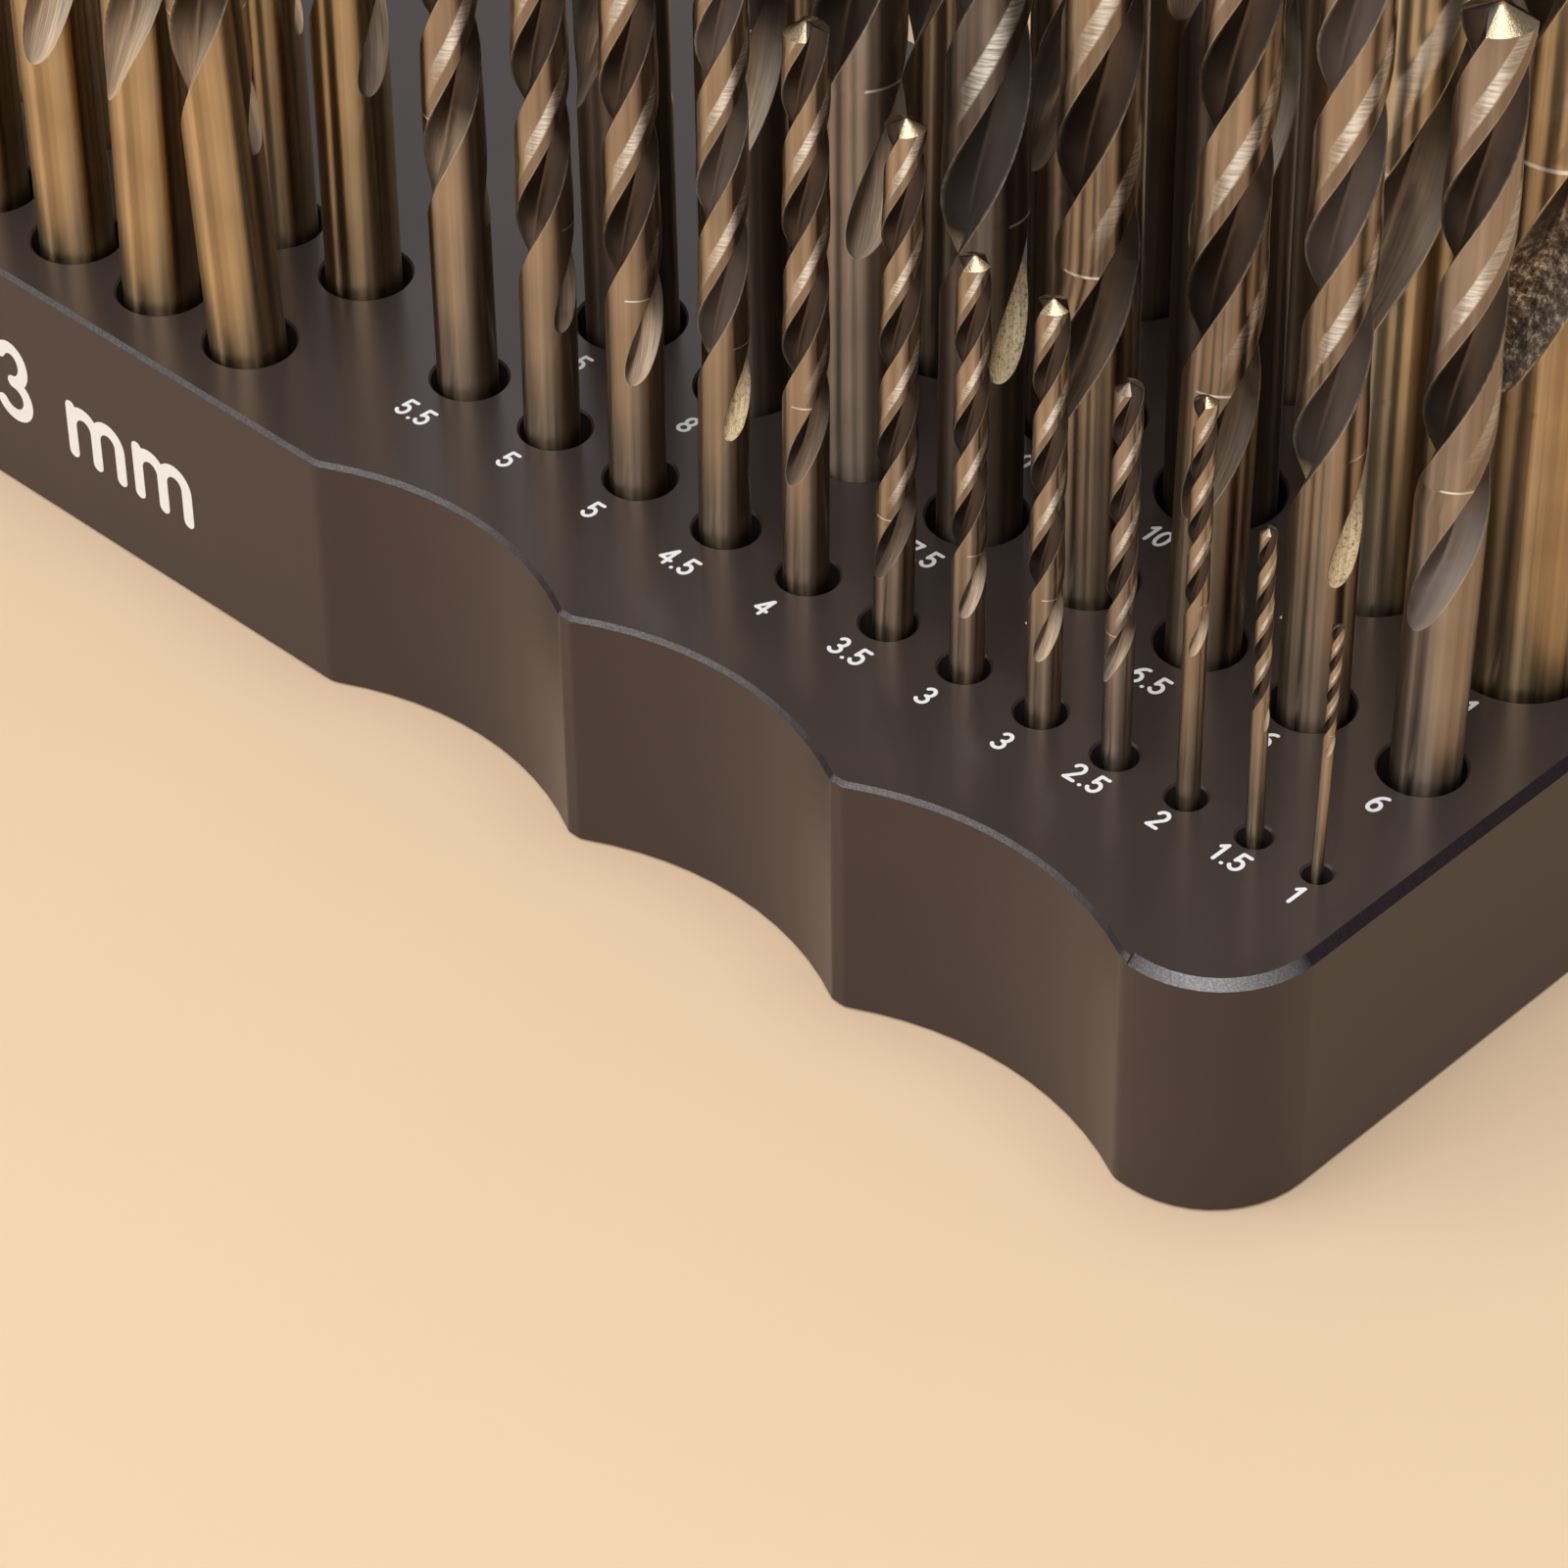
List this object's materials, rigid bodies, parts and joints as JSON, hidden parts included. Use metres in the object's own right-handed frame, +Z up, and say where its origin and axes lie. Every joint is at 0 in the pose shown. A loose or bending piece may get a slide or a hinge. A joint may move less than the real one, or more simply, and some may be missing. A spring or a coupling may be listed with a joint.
{
  "type": "drill bit stand",
  "caption": "Free-standing oblong block with finger scallops along its front and stepped rows of holes, each holding a twist drill bit that lifts out.",
  "frame": {"origin": "centre of the bounding box's bottom, on the block's flat underside", "axes": "+X to the right along the block's length, -Y to the front with the scallops, +Z up along the bits"},
  "size_m": [0.29, 0.085, 0.1586],
  "materials": {
    "block": "dark anodised, satin, with bare machined edges",
    "metric_bits": "bronze cobalt steel, ground flutes",
    "centre_bits": "golden cobalt steel, satin shank",
    "inch_bits": "bronze cobalt steel, ground flutes"
  },
  "bodies": {
    "stand": {"block": "block"},
    "bit_1mm_body": {"bit_1mm": "metric_bits"},
    "bit_1_5mm_body": {"bit_1_5mm": "metric_bits"},
    "bit_2mm_body": {"bit_2mm": "metric_bits"},
    "bit_2_5mm_body": {"bit_2_5mm": "metric_bits"},
    "bit_3mm_a_body": {"bit_3mm_a": "metric_bits"},
    "bit_3mm_b_body": {"bit_3mm_b": "metric_bits"},
    "bit_3_5mm_body": {"bit_3_5mm": "metric_bits"},
    "bit_4mm_body": {"bit_4mm": "metric_bits"},
    "bit_4_5mm_body": {"bit_4_5mm": "metric_bits"},
    "bit_5mm_a_body": {"bit_5mm_a": "metric_bits"},
    "bit_5mm_b_body": {"bit_5mm_b": "metric_bits"},
    "bit_5_5mm_body": {"bit_5_5mm": "metric_bits"},
    "bit_6mm_a_body": {"bit_6mm_a": "metric_bits"},
    "bit_6mm_b_body": {"bit_6mm_b": "metric_bits"},
    "bit_6_5mm_body": {"bit_6_5mm": "metric_bits"},
    "bit_7mm_body": {"bit_7mm": "metric_bits"},
    "bit_7_5mm_body": {"bit_7_5mm": "metric_bits"},
    "bit_8mm_a_body": {"bit_8mm_a": "metric_bits"},
    "bit_8mm_b_body": {"bit_8mm_b": "metric_bits"},
    "bit_8_5mm_body": {"bit_8_5mm": "metric_bits"},
    "bit_11mm_body": {"bit_11mm": "metric_bits"},
    "bit_10_5mm_body": {"bit_10_5mm": "metric_bits"},
    "bit_10mm_a_body": {"bit_10mm_a": "metric_bits"},
    "bit_10mm_b_body": {"bit_10mm_b": "metric_bits"},
    "bit_9_5mm_body": {"bit_9_5mm": "metric_bits"},
    "bit_9mm_body": {"bit_9mm": "metric_bits"},
    "bit_11_5mm_body": {"bit_11_5mm": "metric_bits"},
    "bit_12mm_body": {"bit_12mm": "metric_bits"},
    "bit_12_5mm_body": {"bit_12_5mm": "metric_bits"},
    "bit_13mm_body": {"bit_13mm": "metric_bits"},
    "bit_centre_1_1_body": {"bit_centre_1_1": "centre_bits"},
    "bit_centre_1_2_body": {"bit_centre_1_2": "centre_bits"},
    "bit_centre_1_3_body": {"bit_centre_1_3": "centre_bits"},
    "bit_centre_1_4_body": {"bit_centre_1_4": "centre_bits"},
    "bit_centre_1_5_body": {"bit_centre_1_5": "centre_bits"},
    "bit_centre_2_1_body": {"bit_centre_2_1": "centre_bits"},
    "bit_centre_2_2_body": {"bit_centre_2_2": "centre_bits"},
    "bit_centre_2_3_body": {"bit_centre_2_3": "centre_bits"},
    "bit_centre_2_4_body": {"bit_centre_2_4": "centre_bits"},
    "bit_centre_2_5_body": {"bit_centre_2_5": "centre_bits"},
    "bit_1_16in_body": {"bit_1_16in": "inch_bits"},
    "bit_3_32in_body": {"bit_3_32in": "inch_bits"},
    "bit_1_8in_a_body": {"bit_1_8in_a": "inch_bits"},
    "bit_1_8in_b_body": {"bit_1_8in_b": "inch_bits"},
    "bit_5_32in_body": {"bit_5_32in": "inch_bits"},
    "bit_3_16in_a_body": {"bit_3_16in_a": "inch_bits"},
    "bit_3_16in_b_body": {"bit_3_16in_b": "inch_bits"},
    "bit_7_32in_body": {"bit_7_32in": "inch_bits"},
    "bit_1_4in_a_body": {"bit_1_4in_a": "inch_bits"},
    "bit_1_4in_b_body": {"bit_1_4in_b": "inch_bits"},
    "bit_9_32in_body": {"bit_9_32in": "inch_bits"},
    "bit_5_16in_body": {"bit_5_16in": "inch_bits"},
    "bit_13_32in_body": {"bit_13_32in": "inch_bits"},
    "bit_3_8in_a_body": {"bit_3_8in_a": "inch_bits"},
    "bit_3_8in_b_body": {"bit_3_8in_b": "inch_bits"},
    "bit_11_32in_body": {"bit_11_32in": "inch_bits"},
    "bit_7_16in_body": {"bit_7_16in": "inch_bits"},
    "bit_15_32in_body": {"bit_15_32in": "inch_bits"},
    "bit_1_2in_body": {"bit_1_2in": "inch_bits"}
  },
  "joints": [
    {"name": "bit_1mm_lift", "type": "slide", "parent": "stand", "child": "bit_1mm_body", "axis": [0.0162, 0.0159, 0.9997], "range_m": [0, 0.01]},
    {"name": "bit_1_5mm_lift", "type": "slide", "parent": "stand", "child": "bit_1_5mm_body", "axis": [-0.001, -0.001, 1], "range_m": [0, 0.01]},
    {"name": "bit_2mm_lift", "type": "slide", "parent": "stand", "child": "bit_2mm_body", "axis": [0.0035, 0.0034, 1], "range_m": [0, 0.01]},
    {"name": "bit_2_5mm_lift", "type": "slide", "parent": "stand", "child": "bit_2_5mm_body", "axis": [0.0039, 0.0038, 1], "range_m": [0, 0.02]},
    {"name": "bit_3mm_a_lift", "type": "slide", "parent": "stand", "child": "bit_3mm_a_body", "axis": [0.0042, 0.0042, 1], "range_m": [0, 0.02]},
    {"name": "bit_3mm_b_lift", "type": "slide", "parent": "stand", "child": "bit_3mm_b_body", "axis": [0.0062, 0.0061, 1], "range_m": [0, 0.02]},
    {"name": "bit_3_5mm_lift", "type": "slide", "parent": "stand", "child": "bit_3_5mm_body", "axis": [0.0154, 0.0152, 0.9998], "range_m": [0, 0.02]},
    {"name": "bit_4mm_lift", "type": "slide", "parent": "stand", "child": "bit_4mm_body", "axis": [0.0078, 0.0077, 0.9999], "range_m": [0, 0.02]},
    {"name": "bit_4_5mm_lift", "type": "slide", "parent": "stand", "child": "bit_4_5mm_body", "axis": [0.0108, 0.0106, 0.9999], "range_m": [0, 0.02]},
    {"name": "bit_5mm_a_lift", "type": "slide", "parent": "stand", "child": "bit_5mm_a_body", "axis": [0.0072, 0.0071, 0.9999], "range_m": [0, 0.02]},
    {"name": "bit_5mm_b_lift", "type": "slide", "parent": "stand", "child": "bit_5mm_b_body", "axis": [0.0083, 0.0082, 0.9999], "range_m": [0, 0.02]},
    {"name": "bit_5_5mm_lift", "type": "slide", "parent": "stand", "child": "bit_5_5mm_body", "axis": [0.0024, 0.0023, 1], "range_m": [0, 0.02]},
    {"name": "bit_6mm_a_lift", "type": "slide", "parent": "stand", "child": "bit_6mm_a_body", "axis": [0.0136, 0.0133, 0.9998], "range_m": [0, 0.02]},
    {"name": "bit_6mm_b_lift", "type": "slide", "parent": "stand", "child": "bit_6mm_b_body", "axis": [0.01, -0.0022, 0.9999], "range_m": [0, 0.02]},
    {"name": "bit_6_5mm_lift", "type": "slide", "parent": "stand", "child": "bit_6_5mm_body", "axis": [0.0138, 0.0136, 0.9998], "range_m": [0, 0.02]},
    {"name": "bit_7mm_lift", "type": "slide", "parent": "stand", "child": "bit_7mm_body", "axis": [0.0002, 0.0014, 1], "range_m": [0, 0.02]},
    {"name": "bit_7_5mm_lift", "type": "slide", "parent": "stand", "child": "bit_7_5mm_body", "axis": [0.0061, 0.0052, 1], "range_m": [0, 0.02]},
    {"name": "bit_8mm_a_lift", "type": "slide", "parent": "stand", "child": "bit_8mm_a_body", "axis": [0.0105, -0.0005, 0.9999], "range_m": [0, 0.02]},
    {"name": "bit_8mm_b_lift", "type": "slide", "parent": "stand", "child": "bit_8mm_b_body", "axis": [0.0052, -0.0052, 1], "range_m": [0, 0.02]},
    {"name": "bit_8_5mm_lift", "type": "slide", "parent": "stand", "child": "bit_8_5mm_body", "axis": [0, -0.0005, 1], "range_m": [0, 0.02]},
    {"name": "bit_11mm_lift", "type": "slide", "parent": "stand", "child": "bit_11mm_body", "axis": [0.0043, 0.0052, 1], "range_m": [0, 0.02]},
    {"name": "bit_10_5mm_lift", "type": "slide", "parent": "stand", "child": "bit_10_5mm_body", "axis": [0.0103, 0.0014, 0.9999], "range_m": [0, 0.02]},
    {"name": "bit_10mm_a_lift", "type": "slide", "parent": "stand", "child": "bit_10mm_a_body", "axis": [0.007, -0.0049, 1], "range_m": [0, 0.02]},
    {"name": "bit_10mm_b_lift", "type": "slide", "parent": "stand", "child": "bit_10mm_b_body", "axis": [0.0005, -0.0022, 1], "range_m": [0, 0.02]},
    {"name": "bit_9_5mm_lift", "type": "slide", "parent": "stand", "child": "bit_9_5mm_body", "axis": [0.0026, 0.0045, 1], "range_m": [0, 0.02]},
    {"name": "bit_9mm_lift", "type": "slide", "parent": "stand", "child": "bit_9mm_body", "axis": [0.0095, 0.003, 1], "range_m": [0, 0.02]},
    {"name": "bit_11_5mm_lift", "type": "slide", "parent": "stand", "child": "bit_11_5mm_body", "axis": [0.0086, -0.004, 1], "range_m": [0, 0.02]},
    {"name": "bit_12mm_lift", "type": "slide", "parent": "stand", "child": "bit_12mm_body", "axis": [0.0015, -0.0037, 1], "range_m": [0, 0.02]},
    {"name": "bit_12_5mm_lift", "type": "slide", "parent": "stand", "child": "bit_12_5mm_body", "axis": [0.0012, 0.0034, 1], "range_m": [0, 0.02]},
    {"name": "bit_13mm_lift", "type": "slide", "parent": "stand", "child": "bit_13mm_body", "axis": [0.0082, 0.0043, 1], "range_m": [0, 0.02]},
    {"name": "bit_centre_1_1_lift", "type": "slide", "parent": "stand", "child": "bit_centre_1_1_body", "axis": [0.0039, 0.0051, 1], "range_m": [0, 0.02]},
    {"name": "bit_centre_1_2_lift", "type": "slide", "parent": "stand", "child": "bit_centre_1_2_body", "axis": [0.0102, 0.0018, 0.9999], "range_m": [0, 0.02]},
    {"name": "bit_centre_1_3_lift", "type": "slide", "parent": "stand", "child": "bit_centre_1_3_body", "axis": [0.0074, -0.0047, 1], "range_m": [0, 0.02]},
    {"name": "bit_centre_1_4_lift", "type": "slide", "parent": "stand", "child": "bit_centre_1_4_body", "axis": [0.0143, 0.0141, 0.9998], "range_m": [0, 0.02]},
    {"name": "bit_centre_1_5_lift", "type": "slide", "parent": "stand", "child": "bit_centre_1_5_body", "axis": [-0.0199, -0.0196, 0.9996], "range_m": [0, 0.02]},
    {"name": "bit_centre_2_1_lift", "type": "slide", "parent": "stand", "child": "bit_centre_2_1_body", "axis": [0.0092, 0.0034, 1], "range_m": [0, 0.02]},
    {"name": "bit_centre_2_2_lift", "type": "slide", "parent": "stand", "child": "bit_centre_2_2_body", "axis": [0.0089, -0.0037, 1], "range_m": [0, 0.02]},
    {"name": "bit_centre_2_3_lift", "type": "slide", "parent": "stand", "child": "bit_centre_2_3_body", "axis": [0.0019, -0.004, 1], "range_m": [0, 0.02]},
    {"name": "bit_centre_2_4_lift", "type": "slide", "parent": "stand", "child": "bit_centre_2_4_body", "axis": [0.0009, 0.003, 1], "range_m": [0, 0.02]},
    {"name": "bit_centre_2_5_lift", "type": "slide", "parent": "stand", "child": "bit_centre_2_5_body", "axis": [0.0079, 0.0045, 1], "range_m": [0, 0.02]},
    {"name": "bit_1_16in_lift", "type": "slide", "parent": "stand", "child": "bit_1_16in_body", "axis": [0.0074, -0.0047, 1], "range_m": [0, 0.01]},
    {"name": "bit_3_32in_lift", "type": "slide", "parent": "stand", "child": "bit_3_32in_body", "axis": [0.0007, -0.0026, 1], "range_m": [0, 0.02]},
    {"name": "bit_1_8in_a_lift", "type": "slide", "parent": "stand", "child": "bit_1_8in_a_body", "axis": [0.0022, 0.0043, 1], "range_m": [0, 0.02]},
    {"name": "bit_1_8in_b_lift", "type": "slide", "parent": "stand", "child": "bit_1_8in_b_body", "axis": [0.0092, 0.0034, 1], "range_m": [0, 0.02]},
    {"name": "bit_5_32in_lift", "type": "slide", "parent": "stand", "child": "bit_5_32in_body", "axis": [0.0089, -0.0037, 1], "range_m": [0, 0.02]},
    {"name": "bit_3_16in_a_lift", "type": "slide", "parent": "stand", "child": "bit_3_16in_a_body", "axis": [0.0019, -0.004, 1], "range_m": [0, 0.02]},
    {"name": "bit_3_16in_b_lift", "type": "slide", "parent": "stand", "child": "bit_3_16in_b_body", "axis": [0.0009, 0.003, 1], "range_m": [0, 0.02]},
    {"name": "bit_7_32in_lift", "type": "slide", "parent": "stand", "child": "bit_7_32in_body", "axis": [0.0079, 0.0045, 1], "range_m": [0, 0.02]},
    {"name": "bit_1_4in_a_lift", "type": "slide", "parent": "stand", "child": "bit_1_4in_a_body", "axis": [0.01, -0.0022, 0.9999], "range_m": [0, 0.02]},
    {"name": "bit_1_4in_b_lift", "type": "slide", "parent": "stand", "child": "bit_1_4in_b_body", "axis": [0.0034, -0.0049, 1], "range_m": [0, 0.02]},
    {"name": "bit_9_32in_lift", "type": "slide", "parent": "stand", "child": "bit_9_32in_body", "axis": [0.0002, 0.0014, 1], "range_m": [0, 0.02]},
    {"name": "bit_5_16in_lift", "type": "slide", "parent": "stand", "child": "bit_5_16in_body", "axis": [0.0061, 0.0052, 1], "range_m": [0, 0.02]},
    {"name": "bit_13_32in_lift", "type": "slide", "parent": "stand", "child": "bit_13_32in_body", "axis": [0.0105, -0.0005, 0.9999], "range_m": [0, 0.02]},
    {"name": "bit_3_8in_a_lift", "type": "slide", "parent": "stand", "child": "bit_3_8in_a_body", "axis": [0.0052, -0.0052, 1], "range_m": [0, 0.02]},
    {"name": "bit_3_8in_b_lift", "type": "slide", "parent": "stand", "child": "bit_3_8in_b_body", "axis": [0, -0.0005, 1], "range_m": [0, 0.02]},
    {"name": "bit_11_32in_lift", "type": "slide", "parent": "stand", "child": "bit_11_32in_body", "axis": [0.0043, 0.0052, 1], "range_m": [0, 0.02]},
    {"name": "bit_7_16in_lift", "type": "slide", "parent": "stand", "child": "bit_7_16in_body", "axis": [0.0103, 0.0014, 0.9999], "range_m": [0, 0.02]},
    {"name": "bit_15_32in_lift", "type": "slide", "parent": "stand", "child": "bit_15_32in_body", "axis": [0.007, -0.0049, 1], "range_m": [0, 0.02]},
    {"name": "bit_1_2in_lift", "type": "slide", "parent": "stand", "child": "bit_1_2in_body", "axis": [0.0005, -0.0022, 1], "range_m": [0, 0.02]}
  ]
}
